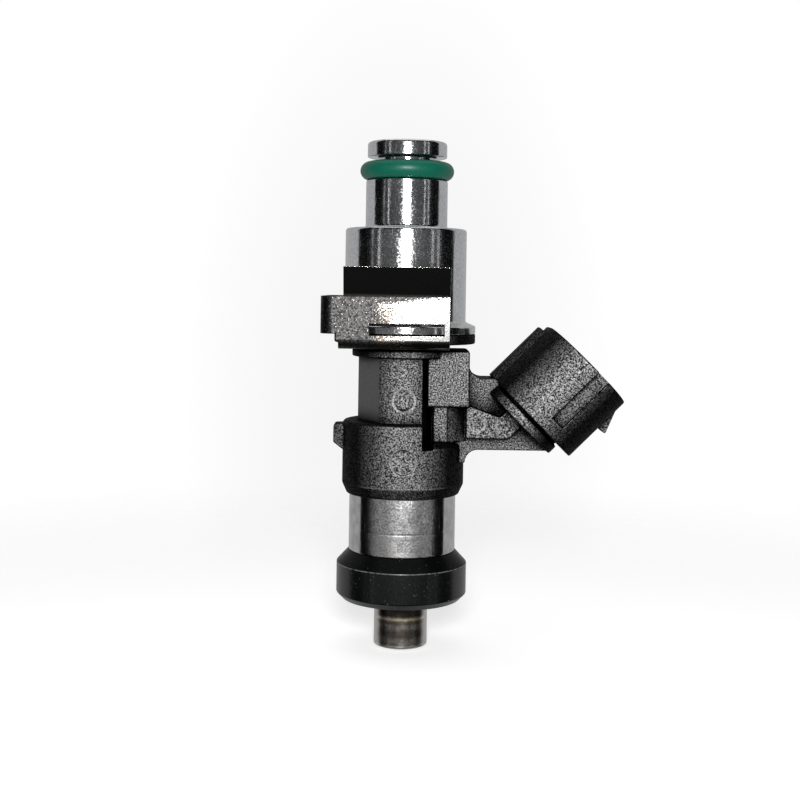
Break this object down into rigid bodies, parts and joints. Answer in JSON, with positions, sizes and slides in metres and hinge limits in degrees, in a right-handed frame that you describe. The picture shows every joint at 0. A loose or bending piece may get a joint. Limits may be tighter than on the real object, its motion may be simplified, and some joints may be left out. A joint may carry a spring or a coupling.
{
  "type": "fuel injector",
  "caption": "Solenoid port fuel injector with a machined top adapter, green seal, steel clip and a tilted oval two-pin socket.",
  "frame": {"origin": "on the injector's axis, in the plane of the nozzle's end face", "axes": "+Z along the axis up to the fuel inlet, +X towards the electrical socket, -Y is the front"},
  "size_m": [0.0394, 0.021, 0.0661],
  "materials": {
    "turned_aluminium": "polished, lathe-turned",
    "black_nylon": "glass-filled nylon, fine spark-eroded grain",
    "black_rubber": "smooth moulded rubber",
    "green_rubber": "smooth fluorocarbon rubber",
    "stainless": "deep-drawn, satin",
    "hardened_steel": "lapped",
    "magnetic_steel": "turned",
    "plated_steel": "satin plated",
    "spring_steel": "rolled, semi-bright",
    "natural_nylon": "natural nylon",
    "enamelled_copper": "enamelled copper wire",
    "tinned_brass": "tin plated",
    "brass": "turned",
    "filter_cloth": "woven filter cloth"
  },
  "bodies": {
    "injector": {"valve_sleeve": "stainless", "orifice_plate": "stainless", "valve_seat": "stainless", "inner_pole": "magnetic_steel", "adjusting_sleeve": "stainless", "return_spring": "spring_steel", "magnet_housing": "plated_steel", "cover_ring": "magnetic_steel", "coil_bobbin": "natural_nylon", "coil_winding": "enamelled_copper", "terminal_front": "tinned_brass", "terminal_rear": "tinned_brass", "seal_carrier": "black_nylon", "lower_seal_ring": "black_rubber", "injector_body": "black_nylon", "top_hat": "turned_aluminium", "rail_o_ring": "green_rubber", "inlet_o_ring": "black_rubber", "backup_ring": "black_nylon", "filter_ring": "brass", "filter_frame": "natural_nylon", "filter_mesh": "filter_cloth", "retaining_clip": "spring_steel"},
    "valve_needle": {"armature": "magnetic_steel", "needle_tube": "stainless", "valve_ball": "hardened_steel"}
  },
  "joints": [
    {"name": "needle_lift", "type": "slide", "parent": "injector", "child": "valve_needle", "axis": [0, 0, 1], "range_m": [0, 0.0001], "stiffness_N_per_m": 2000, "springref_m": -0.002, "deforming": ["return_spring"]}
  ]
}
